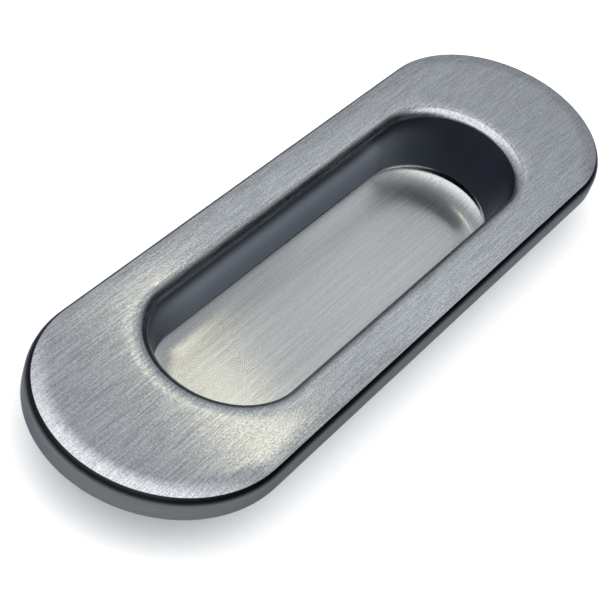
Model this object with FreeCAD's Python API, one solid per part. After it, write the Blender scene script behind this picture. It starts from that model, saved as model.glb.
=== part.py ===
import FreeCAD, Part
import os

# Flush pull for a pocket door, with hidden screws, in millimetres.
# A pressed face plate with a rolled finger recess pushes into a drawn cup,
# and the cup's flange is screwed to the door under the plate.
# The cup's flat underside is at Z = 0, the face looks up, and X runs along the plate.

# Face plate
plateLength = 130.0
plateWidth = 40.0
plateSheet = 0.8
skirtHeight = 4.1  # from the door's surface to the face
edgeRadius = 1.0  # outside bend, between the face and the skirt

# Finger recess in the face plate
recessLength = 86.8  # at the face, where the walls would meet it with no roll
recessWidth = 24.2
rollRadius = 2.2  # soft edge that the fingers go over
collarDepth = 9.9  # from the face to the collar's cut edge
endLean = 4.2  # how far each end wall leans in over the collar's depth
sideLean = 1.4  # the same for each side wall

# Cup behind the recess
cupSheet = 0.8
floorGap = 1.9  # from the collar's cut edge to the cup's floor
cornerRadius = 2.5  # inside, between the cup's floor and its wall

# Fits between the two
pushFit = 0.1  # between the collar and the cup's wall, on each side
flangeGap = 0.2  # between the flange's edge and the skirt

# Fixing screws, each midway between the recess and the plate's end
screwHoleRadius = 1.9
countersinkRadius = 2.4

# Heights and places that follow
faceHeight = collarDepth + floorGap + cupSheet
doorHeight = faceHeight - skirtHeight
flangeTop = doorHeight + cupSheet
screwPlace = (recessLength + plateLength) / 4  # along X, from the middle
past = 1.0  # how far a cutting shape reaches past what it cuts


def stadium(length, width, height):
    """Closed outline with two straight sides and half-round ends, level at a height."""
    radius = width / 2
    centre = length / 2 - radius
    near = FreeCAD.Vector(-centre, -radius, height)
    far = FreeCAD.Vector(centre, -radius, height)
    farTip = FreeCAD.Vector(length / 2, 0, height)
    farBack = FreeCAD.Vector(centre, radius, height)
    nearBack = FreeCAD.Vector(-centre, radius, height)
    nearTip = FreeCAD.Vector(-length / 2, 0, height)
    return Part.Wire([
        Part.LineSegment(near, far).toShape(),
        Part.Arc(far, farTip, farBack).toShape(),
        Part.LineSegment(farBack, nearBack).toShape(),
        Part.Arc(nearBack, nearTip, near).toShape(),
    ])


def block(length, width, bottom, top):
    """Upright block with a stadium outline."""
    base = Part.Face(stadium(length, width, bottom))
    return base.extrude(FreeCAD.Vector(0, 0, top - bottom))


def recessOutline(offset, height):
    """Outline of the leaning recess wall at a height, moved outwards by an offset."""
    share = (faceHeight - height) / collarDepth
    length = recessLength + 2 * (offset - endLean * share)
    width = recessWidth + 2 * (offset - sideLean * share)
    return stadium(length, width, height)


def recessPlug(offset, bottom, top):
    """Solid inside the recess wall, between two heights."""
    low = recessOutline(offset, bottom)
    high = recessOutline(offset, top)
    walls = []
    for lowEdge, highEdge in zip(low.OrderedEdges, high.OrderedEdges):
        if isinstance(lowEdge.Curve, Part.Line):
            corners = [v.Point for v in (lowEdge.Vertexes + highEdge.Vertexes[::-1])]
            walls.append(Part.Face(Part.makePolygon(corners, True)))
        else:
            walls.append(Part.makeRuledSurface(lowEdge, highEdge))
    return Part.makeSolid(Part.makeShell(walls + [Part.Face(low), Part.Face(high)]))


def levelEdges(shape, height, reach=None):
    """Edges of a shape that lie flat at a height, within a reach of the middle along Y."""
    found = []
    for edge in shape.Edges:
        box = edge.BoundBox
        flat = abs(box.ZMin - height) < 1e-4 and abs(box.ZMax - height) < 1e-4
        if flat and (reach is None or max(-box.YMin, box.YMax) < reach):
            found.append(edge)
    return found


def rounded(shape, radius, height, reach=None):
    """The shape with its level edges at a height rounded."""
    return shape.makeFillet(radius, levelEdges(shape, height, reach))


def facePlate():
    """Face, down-turned skirt and rolled recess collar, pressed from one sheet."""
    insideLength = plateLength - 2 * plateSheet
    insideWidth = plateWidth - 2 * plateSheet
    underside = faceHeight - plateSheet
    foot = faceHeight - collarDepth

    plate = rounded(block(plateLength, plateWidth, doorHeight, faceHeight), edgeRadius, faceHeight)
    plate = plate.cut(block(insideLength, insideWidth, doorHeight - past, underside))

    collar = recessPlug(plateSheet, foot, faceHeight - plateSheet / 2)
    plate = plate.fuse(collar).removeSplitter()
    plate = rounded(plate, rollRadius - plateSheet, underside, recessWidth / 2 + 2 * plateSheet)
    plate = plate.cut(recessPlug(0, foot - past, faceHeight + past))
    return rounded(plate, rollRadius, faceHeight, recessWidth / 2 + plateSheet)


def screwHole(x):
    """Cutter for one countersunk screw hole through the flange."""
    down = FreeCAD.Vector(0, 0, -1)
    mouth = FreeCAD.Vector(x, 0, flangeTop)
    sinkDepth = countersinkRadius - screwHoleRadius
    sink = Part.makeCone(countersinkRadius, screwHoleRadius, sinkDepth, mouth, down)
    shank = Part.makeCylinder(screwHoleRadius, cupSheet + past, mouth, down)
    return shank.fuse(sink)


def cup():
    """Drawn cup with the floor that shows in the recess, and a flange for the screws."""
    inside = plateSheet + pushFit
    flangeLength = plateLength - 2 * (plateSheet + flangeGap)
    flangeWidth = plateWidth - 2 * (plateSheet + flangeGap)

    body = recessPlug(inside + cupSheet, 0, doorHeight + cupSheet / 2)
    body = rounded(body, cornerRadius + cupSheet, 0)
    body = body.fuse(block(flangeLength, flangeWidth, doorHeight, flangeTop)).removeSplitter()

    cavity = rounded(recessPlug(inside, cupSheet, flangeTop + past), cornerRadius, cupSheet)
    body = body.cut(cavity)
    for x in (-screwPlace, screwPlace):
        body = body.cut(screwHole(x))
    return body


def main():
    os.makedirs("parts", exist_ok=True)
    for name, shape in (("face_plate", facePlate()), ("cup", cup())):
        if len(shape.Solids) != 1 or not shape.isValid():
            raise RuntimeError(name + " did not come out as one sound solid")
        solid = shape.Solids[0]
        solid.exportStep("parts/" + name + ".step")
        box = solid.optimalBoundingBox()
        size = [round(side, 2) for side in (box.XLength, box.YLength, box.ZLength)]
        print(name, "volume", round(solid.Volume, 1), "mm3, size", size, "mm")


main()
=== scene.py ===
import bmesh
import bpy
import math
from mathutils import Matrix, Vector


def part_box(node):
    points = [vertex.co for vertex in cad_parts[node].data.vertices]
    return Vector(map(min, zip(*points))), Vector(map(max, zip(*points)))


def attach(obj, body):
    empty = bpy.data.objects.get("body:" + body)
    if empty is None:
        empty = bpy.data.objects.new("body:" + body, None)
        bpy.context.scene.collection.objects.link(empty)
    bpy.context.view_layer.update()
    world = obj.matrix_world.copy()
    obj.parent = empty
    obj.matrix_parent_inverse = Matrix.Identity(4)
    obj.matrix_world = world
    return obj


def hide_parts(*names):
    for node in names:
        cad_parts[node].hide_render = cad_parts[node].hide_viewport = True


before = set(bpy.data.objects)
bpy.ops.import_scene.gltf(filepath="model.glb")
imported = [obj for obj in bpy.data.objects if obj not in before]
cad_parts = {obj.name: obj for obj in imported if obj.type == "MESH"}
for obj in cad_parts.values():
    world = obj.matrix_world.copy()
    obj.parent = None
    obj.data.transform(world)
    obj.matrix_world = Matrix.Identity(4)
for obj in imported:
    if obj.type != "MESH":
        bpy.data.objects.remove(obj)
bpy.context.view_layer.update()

plateLow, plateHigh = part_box("face_plate")
cupLow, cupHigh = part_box("cup")
print("frame loaded, plate", tuple(plateHigh - plateLow), "cup", tuple(cupHigh - cupLow))

mm = 0.001

# the recess wall is shared by the plate's collar and the cup that follows it
recess = {
    "length": 86.8 * mm,      # at the face, with no roll
    "width": 24.2 * mm,
    "depth": 9.9 * mm,        # face to the collar's cut edge
    "endLean": 4.2 * mm,      # how far the ends lean in over that depth
    "sideLean": 1.4 * mm,
    "nearSwing": 1.4,         # how soon what is different at the near end sets in
    "stepsPerEnd": 96,        # around each half-round end
    "stepsPerSide": 24,       # along each straight side
}


# stations run once round the outline: an angle, and how far along the straight side
def outlineStations():
    found = []
    for side in (0, 1):
        start = math.pi * (side - 0.5)
        along = 1 - 2 * side
        for step in range(recess["stepsPerEnd"] + 1):
            found.append((start + math.pi * step / recess["stepsPerEnd"], along))
        for step in range(1, recess["stepsPerSide"]):
            found.append((start + math.pi, along * (1 - 2 * step / recess["stepsPerSide"])))
    return found


stations = outlineStations()


def place(station, centre, radius, height):
    angle, along = station
    return Vector((along * centre + radius * math.cos(angle), radius * math.sin(angle), height))


# one level ring round a stadium of this half-length between centres and this end radius
def ring(centre, radius, height):
    return [place(station, centre, radius, height) for station in stations]


# the leaning wall's half-length between centres and end radius, at a height
def wallAt(offset, height):
    share = (plateHigh.z - height) / recess["depth"]
    centre = (recess["length"] - recess["width"]) / 2 - (recess["endLean"] - recess["sideLean"]) * share
    return centre, recess["width"] / 2 + offset - recess["sideLean"] * share


def wallRing(offset, height):
    centre, radius = wallAt(offset, height)
    return ring(centre, radius, height)


def wallLean(station):
    straightness = abs(math.cos(station[0]))
    drop = recess["sideLean"] + (recess["endLean"] - recess["sideLean"]) * straightness
    return math.atan2(drop, recess["depth"])


# how far round the near end a station is, from 0 where a side ends to 1 at the tip
def nearShare(station):
    return max(-math.cos(station[0]), 0) ** recess["nearSwing"]


# rings of the hollow round between a floor that ends at a tilt and the leaning wall
def cornerRings(offset, radius, tilts, levels, steps):
    rings = [[] for step in range(steps + 1)]
    for station, start, level in zip(stations, tilts, levels):
        lean = wallLean(station)
        base = level - radius * (1 - math.cos(start))
        centre, wall = wallAt(offset, base + radius * (1 - math.sin(lean)))
        for step in range(steps + 1):
            angle = start + (math.pi / 2 - lean - start) * step / steps
            out = wall - radius * (math.cos(lean) - math.sin(angle))
            rings[step].append(place(station, centre, out, base + radius * (1 - math.cos(angle))))
    return rings


# finishes change at the marked rings; a skirt's brush lines run round the plate
def buildPiece(name, rings, closed, crease=0, wall=(0, 0)):
    mesh = bpy.data.meshes.new(name)
    work = bmesh.new()
    brushing = work.loops.layers.uv.new("brushing")     # U runs across the brush lines
    loops = [[work.verts.new(point) for point in points] for points in rings]
    count = len(stations)
    pairs = list(zip(loops, loops[1:]))
    if closed:
        pairs.append((loops[-1], loops[0]))
    else:
        for cap in (loops[0], loops[-1]):
            for corner in work.faces.new(cap).loops:
                corner[brushing].uv = (corner.vert.co.y / mm, corner.vert.co.x / mm)
    for band, (low, high) in enumerate(pairs):
        for step in range(count):
            after = (step + 1) % count
            face = work.faces.new((low[step], low[after], high[after], high[step]))
            for corner, turn in zip(face.loops, (step, step + 1, step + 1, step)):
                spot = corner.vert.co
                if band < crease:
                    corner[brushing].uv = (spot.z / mm, turn)
                else:
                    corner[brushing].uv = (spot.y / mm, spot.x / mm)
            if band < crease:
                face.material_index = 1
            elif wall[0] <= band < wall[1]:
                face.material_index = 2
    bmesh.ops.recalc_face_normals(work, faces=work.faces)
    for face in work.faces:
        face.smooth = True
    if crease:
        for step in range(count):
            edge = work.edges.get((loops[crease][step], loops[crease][(step + 1) % count]))
            edge.smooth = False
    work.to_mesh(mesh)
    work.free()
    piece = bpy.data.objects.new(name, mesh)
    bpy.context.scene.collection.objects.link(piece)
    return piece


facePlate = {
    "sheet": 0.8 * mm,
    "skirtHeight": 4.1 * mm,  # door to face
    "bendRadius": 2.1 * mm,   # between the crease and the skirt
    "creaseAngle": 36,        # where the brushing cut the bend off, in degrees
    "crownWidth": 3.1 * mm,   # border where the brushing wore the face down
    "crownTilt": 11.5,        # its steepest, at the crease
    "dipWidth": 1.75 * mm,    # the press drew the face down a little before the roll
    "dipTilt": 2,
    "rollRadius": 2.1 * mm,
    "nearRoll": 1.6 * mm,     # added to it round the near end
    "nearTuck": 0.68 * mm,    # how much further in the near end's lip stands
    "cutEdge": 0.12 * mm,     # broken corners along the skirt's edge
    "cutRound": 0.3,          # share of that where their middle ring stands
    "footEdge": 0.04 * mm,    # broken corners along the collar's edge
    "hold": 0.06 * mm,        # ring beside each bend that keeps the flats flat
    "bendSteps": 12,
    "crownSteps": 6,
    "dipSteps": 8,
    "rollSteps": 24,
    "drawnSteps": 2,          # of those, the last ones that the brushing never reached
}


# how far a border has dropped at a share of its width, where its slope grows evenly
def borderDrop(width, tilt, share):
    return math.tan(math.radians(tilt)) * width / 2 * share ** 2


# the border that dips towards the recess, then the roll down to the wall
def rimRings(offset, radius, face):
    p = facePlate
    start = math.radians(p["dipTilt"])
    dip = [[] for step in range(p["dipSteps"])]
    roll = [[] for step in range(p["rollSteps"] + 1)]
    for station in stations:
        lean = wallLean(station)
        near = nearShare(station)
        bend = radius + p["nearRoll"] * near
        level = face - borderDrop(p["dipWidth"], p["dipTilt"], 1) + bend * (1 - math.cos(start))
        centre, wall = wallAt(offset - p["nearTuck"] * near, level - bend * (1 - math.sin(lean)))
        edge = wall + bend * (math.cos(lean) - math.sin(start))
        for step in range(p["dipSteps"]):
            along = step / p["dipSteps"]
            drop = borderDrop(p["dipWidth"], p["dipTilt"], along)
            dip[step].append(place(station, centre, edge + p["dipWidth"] * (1 - along), face - drop))
        for step in range(p["rollSteps"] + 1):
            angle = start + (math.pi / 2 - lean - start) * step / p["rollSteps"]
            out = wall + bend * (math.cos(lean) - math.sin(angle))
            roll[step].append(place(station, centre, out, level + bend * (math.cos(angle) - 1)))
    return dip + roll


def makeFacePlate():
    p = facePlate
    top = plateHigh.z
    foot = plateLow.z
    door = top - p["skirtHeight"]
    radius = plateHigh.y
    centre = plateHigh.x - radius
    inner = radius - p["sheet"]
    rings = []

    # skirt and bend, up to the crease
    corner = p["cutEdge"] * p["cutRound"]
    rings.append(ring(centre, radius - p["cutEdge"], door))
    rings.append(ring(centre, radius - corner, door + corner))
    rings.append(ring(centre, radius, door + p["cutEdge"]))
    rings.append(ring(centre, radius, door + p["cutEdge"] + p["hold"]))
    creaseAngle = math.radians(p["creaseAngle"])
    creaseHeight = top - borderDrop(p["crownWidth"], p["crownTilt"], 1)
    bendCentre = creaseHeight - p["bendRadius"] * math.cos(creaseAngle)
    for step in range(p["bendSteps"] + 1):
        angle = math.pi / 2 + (creaseAngle - math.pi / 2) * step / p["bendSteps"]
        out = radius - p["bendRadius"] * (1 - math.sin(angle))
        rings.append(ring(centre, out, bendCentre + p["bendRadius"] * math.cos(angle)))
    crease = len(rings) - 1
    creaseOut = radius - p["bendRadius"] * (1 - math.sin(creaseAngle))

    # crowned border, face, dip, roll, collar and its cut edge
    for step in range(1, p["crownSteps"] + 1):
        share = 1 - step / p["crownSteps"]
        drop = borderDrop(p["crownWidth"], p["crownTilt"], share)
        rings.append(ring(centre, creaseOut - p["crownWidth"] * (1 - share), top - drop))
    rings.extend(rimRings(0, p["rollRadius"], top))
    wallStart = len(rings) - 1 - p["drawnSteps"]
    rings.append(wallRing(0, foot + p["footEdge"] * 2))
    rings.append(wallRing(0, foot + p["footEdge"]))
    rings.append(wallRing(p["footEdge"], foot))
    rings.append(wallRing(p["sheet"] - p["footEdge"], foot))
    rings.append(wallRing(p["sheet"], foot + p["footEdge"]))
    wallEnd = len(rings) - 1

    # hidden side: collar, root, underside and the skirt's inside
    under = top - p["sheet"]
    rings.extend(reversed(rimRings(p["sheet"], p["rollRadius"] - p["sheet"], under)))
    rings.append(ring(centre, inner - p["bendRadius"] / 2, under))
    rings.append(ring(centre, inner - p["hold"], bendCentre))
    rings.append(ring(centre, inner, bendCentre - p["hold"]))
    rings.append(ring(centre, inner, door + p["cutEdge"]))
    rings.append(ring(centre, inner + p["cutEdge"], door))
    return buildPiece("facePlate", rings, True, crease, (wallStart, wallEnd))


cup = {
    "sheet": 0.8 * mm,
    "cornerRadius": 1.0 * mm,   # inside, floor to wall
    "sideDish": 5.0 * mm,       # the floor lifts softly towards the collar, but not at its near end
    "farDish": 8.5 * mm,
    "farSwing": 2,              # how soon the dish widens towards its far end
    "dishTilt": 23,             # its steepest, in degrees
    "dishPower": 3,             # how late the lift sets in
    "dishSteps": 20,
    "pushFit": 0.1 * mm,        # collar to cup wall
    "hold": 0.06 * mm,          # ring beside each edge of the flange that keeps it crisp
    "cornerSteps": 20,
    "screwPlace": 54.2 * mm,    # along X, from the middle
    "screwHoleRadius": 1.9 * mm,
    "countersinkRadius": 2.4 * mm,
    "holeSteps": 48,
}


def makeCup():
    p = cup
    inside = facePlate["sheet"] + p["pushFit"]
    outside = inside + p["sheet"]
    flangeTop = cupHigh.z
    door = flangeTop - p["sheet"]
    radius = cupHigh.y
    centre = cupHigh.x - radius
    floor = p["sheet"]
    widths = [p["sideDish"] + (p["farDish"] - p["sideDish"]) * max(math.cos(angle), 0) ** p["farSwing"]
              for angle, along in stations]
    tilts = [math.radians(p["dishTilt"]) * (1 - nearShare(station)) for station in stations]
    lifts = [math.tan(tilt) * width / p["dishPower"] for tilt, width in zip(tilts, widths)]
    levels = [floor + lift for lift in lifts]
    corner = cornerRings(inside, p["cornerRadius"], tilts, levels, p["cornerSteps"])
    rings = []
    for step in range(p["dishSteps"]):
        share = step / p["dishSteps"]
        points = []
        for (angle, along), edge, width, lift in zip(stations, corner[0], widths, lifts):
            inset = width * (1 - share)
            points.append(Vector((edge.x - inset * math.cos(angle), edge.y - inset * math.sin(angle),
                                  floor + lift * share ** p["dishPower"])))
        rings.append(points)
    rings.extend(corner)
    rings.append(wallRing(inside, flangeTop))
    rings.append(ring(centre, radius - p["hold"], flangeTop))
    rings.append(ring(centre, radius, flangeTop - p["hold"]))
    rings.append(ring(centre, radius, door + p["hold"]))
    rings.append(ring(centre, radius - p["hold"], door))
    rings.append(wallRing(outside, door))
    level = [0] * len(stations)
    corner = cornerRings(outside, p["cornerRadius"] + p["sheet"], level, level, p["cornerSteps"])
    rings.extend(reversed(corner))
    piece = buildPiece("drawnCup", rings, False)
    for side in (-1, 1):
        cutScrewHole(piece, side * p["screwPlace"], flangeTop)
    return piece


# a countersunk hole through the flange
def cutScrewHole(piece, x, flangeTop):
    p = cup
    past = p["sheet"]
    narrow = p["screwHoleRadius"]
    wide = p["countersinkRadius"]
    profile = ((narrow, flangeTop - p["sheet"] - past), (narrow, flangeTop - wide + narrow),
               (wide, flangeTop), (wide + past, flangeTop + past))
    mesh = bpy.data.meshes.new("screwCutter")
    work = bmesh.new()
    loops = []
    for radius, height in profile:
        loop = []
        for step in range(p["holeSteps"]):
            angle = 2 * math.pi * step / p["holeSteps"]
            loop.append(work.verts.new((x + radius * math.cos(angle), radius * math.sin(angle), height)))
        loops.append(loop)
    work.faces.new(loops[0])
    work.faces.new(loops[-1])
    for low, high in zip(loops, loops[1:]):
        for step in range(p["holeSteps"]):
            after = (step + 1) % p["holeSteps"]
            work.faces.new((low[step], low[after], high[after], high[step]))
    bmesh.ops.recalc_face_normals(work, faces=work.faces)
    work.to_mesh(mesh)
    work.free()
    cutter = bpy.data.objects.new("screwCutter", mesh)
    bpy.context.scene.collection.objects.link(cutter)
    cut = piece.modifiers.new("ScrewHole", "BOOLEAN")
    cut.operation = "DIFFERENCE"
    cut.solver = "EXACT"
    cut.object = cutter
    depsgraph = bpy.context.evaluated_depsgraph_get()
    piece.data = bpy.data.meshes.new_from_object(piece.evaluated_get(depsgraph))
    piece.modifiers.remove(cut)
    bpy.data.objects.remove(cutter)


flatWeight = 60     # how much the large flats count beside the narrow bends


def cleanShading(piece):
    shading = piece.modifiers.new("CleanShading", "WEIGHTED_NORMAL")
    shading.mode = "FACE_AREA"
    shading.weight = flatWeight
    shading.keep_sharp = True


noiseSpan = (0.3, 0.7)      # nearly all of the noise lies between these


def newMaterial(name):
    material = bpy.data.materials.new(name)
    material.use_nodes = True
    return material, material.node_tree.nodes["Principled BSDF"]


# noise stretched into brush lines, or left as grain
def streaks(tree, cells, detail):
    coords = tree.nodes.new("ShaderNodeTexCoord")
    stretch = tree.nodes.new("ShaderNodeMapping")
    stretch.inputs["Scale"].default_value = cells
    tree.links.new(coords.outputs["Object"], stretch.inputs["Vector"])
    noise = tree.nodes.new("ShaderNodeTexNoise")
    noise.inputs["Scale"].default_value = 1
    noise.inputs["Detail"].default_value = detail
    tree.links.new(stretch.outputs["Vector"], noise.inputs["Vector"])
    return noise.outputs["Fac"]


def spreadRange(tree, source, low, high, span=noiseSpan):
    spread = tree.nodes.new("ShaderNodeMapRange")
    spread.inputs["From Min"].default_value, spread.inputs["From Max"].default_value = span
    spread.inputs["To Min"].default_value = low
    spread.inputs["To Max"].default_value = high
    tree.links.new(source, spread.inputs["Value"])
    return spread.outputs["Result"]


def blend(tree, share, first, second, kind="RGBA"):
    mix = tree.nodes.new("ShaderNodeMix")
    mix.data_type = kind
    for name, value in (("A", first), ("B", second), ("Factor", share)):
        socket = [item for item in mix.inputs if item.name == name and item.enabled][0]
        if isinstance(value, bpy.types.NodeSocket):
            tree.links.new(value, socket)
        else:
            socket.default_value = value
    return [item for item in mix.outputs if item.enabled][0]


# metres along one of the part's own axes
def partAxis(tree, axis):
    coords = tree.nodes.new("ShaderNodeTexCoord")
    parts = tree.nodes.new("ShaderNodeSeparateXYZ")
    tree.links.new(coords.outputs["Object"], parts.inputs["Vector"])
    return parts.outputs[axis]


def addBump(tree, shader, source, strength, depth):
    bump = tree.nodes.new("ShaderNodeBump")
    bump.inputs["Strength"].default_value = strength
    bump.inputs["Distance"].default_value = depth
    tree.links.new(source, bump.inputs["Height"])
    tree.links.new(bump.outputs["Normal"], shader.inputs["Normal"])


# satin steel: smooth along the brush lines, rough across them
def makeBrushedSteel(name, p, shade=None):
    material, shader = newMaterial(name)
    tree = material.node_tree
    shader.inputs["Metallic"].default_value = 1
    shader.inputs["Specular Tint"].default_value = p["grazing"]
    shader.inputs["Anisotropic"].default_value = 1
    fine = streaks(tree, p["lines"], p["lineDetail"])
    grain = streaks(tree, p["grain"], p["grainDetail"])
    share = blend(tree, p["grainShare"], spreadRange(tree, fine, 0, 1), spreadRange(tree, grain, 0, 1),
                  "FLOAT")
    colour = blend(tree, share, p["dull"], p["bright"])
    if shade:
        darkness = spreadRange(tree, partAxis(tree, "Z"), 0, 1, (shade["low"], shade["high"]))
        colour = blend(tree, darkness, colour, shade["colour"])
    tree.links.new(colour, shader.inputs["Base Color"])
    tree.links.new(spreadRange(tree, fine, *p["roughness"]), shader.inputs["Roughness"])
    addBump(tree, shader, fine, p["lineStrength"], p["lineDepth"])
    tangent = tree.nodes.new("ShaderNodeTangent")
    tangent.direction_type = "UV_MAP"
    tangent.uv_map = "brushing"
    tree.links.new(tangent.outputs["Tangent"], shader.inputs["Tangent"])
    return material


# drawn steel that the brushing never reached: dull; its colour by height is the wall's own tone low down,
# a painted highlight band at mid-depth and painted shade just below the roll, with painted shade towards
# the ends
def makeDrawnSteelPaintedLight(name, p):
    material, shader = newMaterial(name)
    tree = material.node_tree
    shader.inputs["Metallic"].default_value = p["metallic"]
    shader.inputs["Roughness"].default_value = p["roughness"]
    # painted light by height: the stops give the wall's own tone low down, a painted highlight band at
    # mid-depth and painted shade just below the roll
    toneAndPaintedLight = tree.nodes.new("ShaderNodeValToRGB")
    toneAndPaintedLight.color_ramp.interpolation = "B_SPLINE"
    height = spreadRange(tree, partAxis(tree, "Z"), 0, 1, (plateLow.z, plateHigh.z))
    tree.links.new(height, toneAndPaintedLight.inputs["Fac"])
    stops = toneAndPaintedLight.color_ramp.elements
    for spare in range(len(p["toneAndPaintedLight"]) - len(stops)):
        stops.new(1)
    for stop, (depth, colour) in zip(stops, p["toneAndPaintedLight"]):
        stop.position = 1 - depth / recess["depth"]
        stop.color = colour
    # painted shade: the colour darkens towards both ends along X
    away = tree.nodes.new("ShaderNodeMath")
    away.operation = "ABSOLUTE"
    tree.links.new(partAxis(tree, "X"), away.inputs[0])
    end = tree.nodes.new("ShaderNodeMapRange")
    end.interpolation_type = "SMOOTHSTEP"
    end.inputs["From Min"].default_value, end.inputs["From Max"].default_value = p["paintedEndShadeFrom"]
    tree.links.new(away.outputs[0], end.inputs["Value"])
    colour = blend(tree, end.outputs["Result"], toneAndPaintedLight.outputs["Color"], p["paintedEndShade"])
    tree.links.new(colour, shader.inputs["Base Color"])
    addBump(tree, shader, streaks(tree, p["grain"], p["grainDetail"]), p["grainStrength"], p["grainDepth"])
    return material


# noise cells per metre: few along the lines, many across them
faceSteel = {
    "dull": (0.26, 0.271, 0.284, 1),
    "bright": (0.565, 0.59, 0.615, 1),
    "roughness": (0.18, 0.22),
    "lines": (170, 4200, 2000),
    "lineDetail": 1,
    "grain": (3000, 6000, 3000),
    "grainDetail": 0,
    "grainShare": 0.5,
    "lineDepth": 0.005 * mm,
    "lineStrength": 1,
    "grazing": (0.9, 0.9, 0.9, 1),
}

cupSteel = {
    "dull": (0.385, 0.396, 0.40, 1),
    "bright": (0.545, 0.558, 0.56, 1),
    "roughness": (0.19, 0.23),
    "lines": (60, 4000, 2000),
    "lineDetail": 1,
    "grain": (3000, 6000, 3000),
    "grainDetail": 0,
    "grainShare": 0.35,
    "lineDepth": 0.005 * mm,
    "lineStrength": 1,
    "grazing": (0.9, 0.9, 0.9, 1),
}

# the collar's wall colour by depth below the face: its own tone near the foot, a painted highlight band
# near 4 mm and painted shade above it up to the roll; its ends get painted shade as well
wallSteelPaintedLight = {
    "toneAndPaintedLight": ((9.9 * mm, (0.21, 0.24, 0.285, 1)), (6.4 * mm, (0.23, 0.26, 0.305, 1)),
              (4.1 * mm, (0.36, 0.405, 0.46, 1)), (2.6 * mm, (0.06, 0.07, 0.09, 1)),
              (1.6 * mm, (0.02, 0.023, 0.03, 1))),
    "paintedEndShade": (0.025, 0.029, 0.042, 1),
    "paintedEndShadeFrom": (22 * mm, 41 * mm),      # along X, from the middle
    "metallic": 0.55,
    "roughness": 0.3,
    "grain": (900, 900, 500),
    "grainDetail": 4,
    "grainDepth": 0.004 * mm,
    "grainStrength": 0.5,
}

# the skirt's colour is painted shade: it is kept very dark so that the skirt stays dark grey although it
# reflects the pale floor
skirtSteelPaintedShade = {
    "dull": (0.105, 0.11, 0.12, 1),
    "bright": (0.145, 0.15, 0.16, 1),
    "roughness": (0.20, 0.26),
    "lines": (30, 30, 3500),
    "lineDetail": 1,
    "grain": (1500, 1500, 5000),
    "grainDetail": 0,
    "grainShare": 0.2,
    "lineDepth": 0.005 * mm,
    "lineStrength": 1,
    "grazing": (0.5, 0.5, 0.53, 1),
}

# painted shade: the bend's upper half is coloured dark, standing in for the dark reflection along the
# crease
bendShade = {
    "low": plateHigh.z - 1.35 * mm,
    "high": plateHigh.z - 0.75 * mm,
    "colour": (0.022, 0.023, 0.027, 1),
}

platePiece = makeFacePlate()
cupPiece = makeCup()
platePiece.data.materials.append(makeBrushedSteel("brushedFace", faceSteel))
platePiece.data.materials.append(makeBrushedSteel("pressedSkirtPaintedShade", skirtSteelPaintedShade, bendShade))
platePiece.data.materials.append(makeDrawnSteelPaintedLight("drawnWallPaintedLight", wallSteelPaintedLight))
cupPiece.data.materials.append(makeBrushedSteel("drawnCup", cupSteel))
for piece, node, slot in ((platePiece, "face_plate", "plate_steel"), (cupPiece, "cup", "cup_steel")):
    cleanShading(piece)
    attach(piece, "root")
    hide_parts(node)
print("pieces built")

# runs go round the set in degrees from +X, and up in degrees from the floor
studio = {
    "floorSize": 6.0,
    "floorColour": (0.9, 0.9, 0.9, 1),
    "floorRoughness": 0.9,
    "worldColour": (0.98, 1, 1.03, 1),
    "worldStrength": 0.76,
    "clothRadius": 0.9,          # dark cloth round the set, seen only in the metal
    "clothFoot": 0.1,            # degrees up
    "clothRun": ((0, 24), (12, 13), (75, 11), (100, 14), (130, 20), (160, 32), (200, 40), (235, 46),
                 (330, 48), (345, 40), (360, 24)),
    "clothDark": (0.012, 0.012, 0.015, 1),
    "clothPale": (0.6, 0.61, 0.63, 1),
    "clothFade": (0.55, 1.0),    # share of its height where it turns pale
    "hazeRun": ((-12, 24, 46), (12, 13, 46), (75, 11, 46), (85, 11, 30)),     # a dimmer stretch of room
    "hazeLow": (0.56, 0.58, 0.60, 1),
    "hazeHigh": (1.10, 1.125, 1.15, 1),
    "hazeFade": (0.4, 0.87),
    "duskRun": ((29, 44, 60), (45, 40, 66), (90, 34, 66)),                    # and one above it
    "duskColour": (0.60, 0.61, 0.63, 1),
    "runStep": 6,                # degrees between columns
}

overhead = {
    "height": 0.7,
    "near": -0.97,               # reaches this far along X, on the camera's side
    "far": 0.42,
    "half": 0.62,                # half its width
    "edge": 0.2,                 # soft border along X
    "radiance": 1.85,
}

# a small warm lamp well past the far end, whose glow lies across the near end
warmLamp = {
    "place": (1.205, 0.4, 1.5),
    "size": (0.1, 0.1),
    "colour": (1, 0.92, 0.66),
    "radiance": 9.5,
}


def addStage(name, mesh, material):
    mesh.materials.append(material)
    piece = bpy.data.objects.new(name, mesh)
    bpy.context.scene.collection.objects.link(piece)
    return piece


# what only reflections see
def onlyInMetal(piece):
    piece.visible_camera = False
    piece.visible_diffuse = False
    piece.visible_shadow = False
    piece.visible_transmission = False


# a glow that fades between two colours along one UV direction
def makeGlow(name, first, second, fade, strength):
    material, shader = newMaterial(name)
    tree = material.node_tree
    tree.nodes.remove(shader)
    glow = tree.nodes.new("ShaderNodeEmission")
    glow.inputs["Strength"].default_value = strength
    spot = tree.nodes.new("ShaderNodeUVMap")
    spot.uv_map = "fade"
    parts = tree.nodes.new("ShaderNodeSeparateXYZ")
    tree.links.new(spot.outputs["UV"], parts.inputs["Vector"])
    share = spreadRange(tree, parts.outputs["Y"], 0, 1, fade)
    tree.links.new(blend(tree, share, first, second), glow.inputs["Color"])
    tree.links.new(glow.outputs["Emission"], tree.nodes["Material Output"].inputs["Surface"])
    return material


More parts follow.
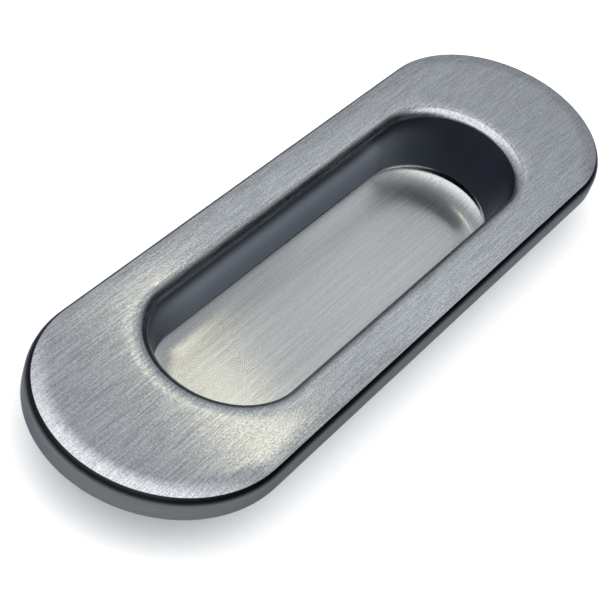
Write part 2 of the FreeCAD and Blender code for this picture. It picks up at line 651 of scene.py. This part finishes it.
def makeFloor():
    mesh = bpy.data.meshes.new("floor")
    half = studio["floorSize"] / 2
    work = bmesh.new()
    corners = [work.verts.new((x * half, y * half, 0)) for x, y in ((-1, -1), (1, -1), (1, 1), (-1, 1))]
    work.faces.new(corners)
    work.to_mesh(mesh)
    work.free()
    material, shader = newMaterial("paleFloor")
    shader.inputs["Base Color"].default_value = studio["floorColour"]
    shader.inputs["Roughness"].default_value = studio["floorRoughness"]
    shader.inputs["Specular IOR Level"].default_value = 0
    addStage("floor", mesh, material)


# a strip of columns, each a low and a high point, with the fade running up it
def makeStrip(name, columns, material):
    mesh = bpy.data.meshes.new(name)
    work = bmesh.new()
    fade = work.loops.layers.uv.new("fade")
    pairs = [(work.verts.new(low), work.verts.new(high)) for low, high in columns]
    for left, right in zip(pairs, pairs[1:]):
        face = work.faces.new((left[0], right[0], right[1], left[1]))
        for corner, up in zip(face.loops, (0, 0, 1, 1)):
            corner[fade].uv = (0, up)
    work.to_mesh(mesh)
    work.free()
    onlyInMetal(addStage(name, mesh, material))


# points on a cylinder round the set, at degrees round and up
def roundTheSet(turn, up):
    angle = math.radians(turn)
    radius = studio["clothRadius"]
    return (radius * math.cos(angle), radius * math.sin(angle), radius * math.tan(math.radians(up)))


# a run of (turn, low, high) filled in every few degrees
def finerRun(run):
    filled = []
    for here, there in zip(run, run[1:]):
        steps = math.ceil((there[0] - here[0]) / studio["runStep"])
        for step in range(steps):
            filled.append([first + (second - first) * step / steps for first, second in zip(here, there)])
    return filled + [run[-1]]


# the metal needs something dark to show
def makeCloth():
    p = studio
    clothRun = [(turn, p["clothFoot"], high) for turn, high in p["clothRun"]]
    for name, run, first, second, fade in (
            ("darkCloth", clothRun, p["clothDark"], p["clothPale"], p["clothFade"]),
            ("dimRoom", p["hazeRun"], p["hazeLow"], p["hazeHigh"], p["hazeFade"]),
            ("duskRoom", p["duskRun"], p["duskColour"], p["duskColour"], (0, 1))):
        columns = [(roundTheSet(turn, low), roundTheSet(turn, high)) for turn, low, high in finerRun(run)]
        makeStrip(name, columns, makeGlow(name, first, second, fade, 1))


# the overhead light as the metal sees it, with borders that fade into the room
def makeCanopy():
    p = overhead
    white = (1, 1, 1, 1)
    dimming = studio["worldStrength"] / p["radiance"]
    room = [dimming * channel for channel in studio["worldColour"][:3]] + [1]
    middle = makeGlow("canopyMiddle", white, white, (0, 1), p["radiance"])
    fading = makeGlow("canopyEdge", room, white, (0, 1), p["radiance"])
    for name, low, high, material in (("canopy", p["near"] + p["edge"], p["far"] - p["edge"], middle),
                                      ("canopyNear", p["near"], p["near"] + p["edge"], fading),
                                      ("canopyFar", p["far"], p["far"] - p["edge"], fading)):
        columns = [((low, y, p["height"]), (high, y, p["height"])) for y in (-p["half"], p["half"])]
        makeStrip(name, columns, material)


def makeSoftbox(name, centre, aim, size, colour, radiance):
    data = bpy.data.lights.new(name, "AREA")
    data.shape = "RECTANGLE"
    data.size, data.size_y = size
    data.energy = radiance * math.pi * size[0] * size[1]
    data.color = colour
    lamp = bpy.data.objects.new(name, data)
    lamp.location = centre
    lamp.rotation_mode = "QUATERNION"
    lamp.rotation_quaternion = (Vector(aim) - Vector(centre)).to_track_quat("-Z", "Y")
    bpy.context.scene.collection.objects.link(lamp)
    return lamp


def makeLamps():
    p = overhead
    middle = (p["near"] + p["far"]) / 2
    length = p["far"] - p["near"] - p["edge"]
    lamp = makeSoftbox("overhead", (middle, 0, p["height"]), (middle, 0, 0), (length, 2 * p["half"]),
                       (1, 1, 1), p["radiance"])
    lamp.visible_glossy = False      # the canopy stands for it there
    makeSoftbox("warmLamp", warmLamp["place"], (0, 0, 0), warmLamp["size"], warmLamp["colour"],
                warmLamp["radiance"])


def makeWorld():
    world = bpy.data.worlds.new("studioRoom")
    bpy.context.scene.world = world
    world.use_nodes = True
    background = world.node_tree.nodes["Background"]
    background.inputs["Color"].default_value = studio["worldColour"]
    background.inputs["Strength"].default_value = studio["worldStrength"]


view = {
    "eye": (-198.3 * mm, -74.8 * mm, 183.8 * mm),     # from the middle of the face
    "target": (-16.55 * mm, -2.51 * mm, 0),
    "roll": 20.4,                                     # degrees
    "lens": 108.3,
    "sensor": 36,
}


def makeCamera():
    face = Vector((0, 0, plateHigh.z))
    eye = Vector(view["eye"]) + face
    look = Vector(view["target"]) + face - eye
    data = bpy.data.cameras.new("camera")
    data.lens = view["lens"]
    data.sensor_width = view["sensor"]
    camera = bpy.data.objects.new("camera", data)
    bpy.context.scene.collection.objects.link(camera)
    roll = Matrix.Rotation(math.radians(view["roll"]), 3, "Z")
    turned = look.to_track_quat("-Z", "Y").to_matrix() @ roll
    camera.matrix_world = Matrix.Translation(eye) @ turned.to_4x4()
    bpy.context.scene.camera = camera


makeFloor()
makeWorld()
makeCloth()
makeCanopy()
makeLamps()
makeCamera()
bpy.context.scene.view_settings.view_transform = "Standard"
print("studio ready")

bpy.context.view_layer.update()
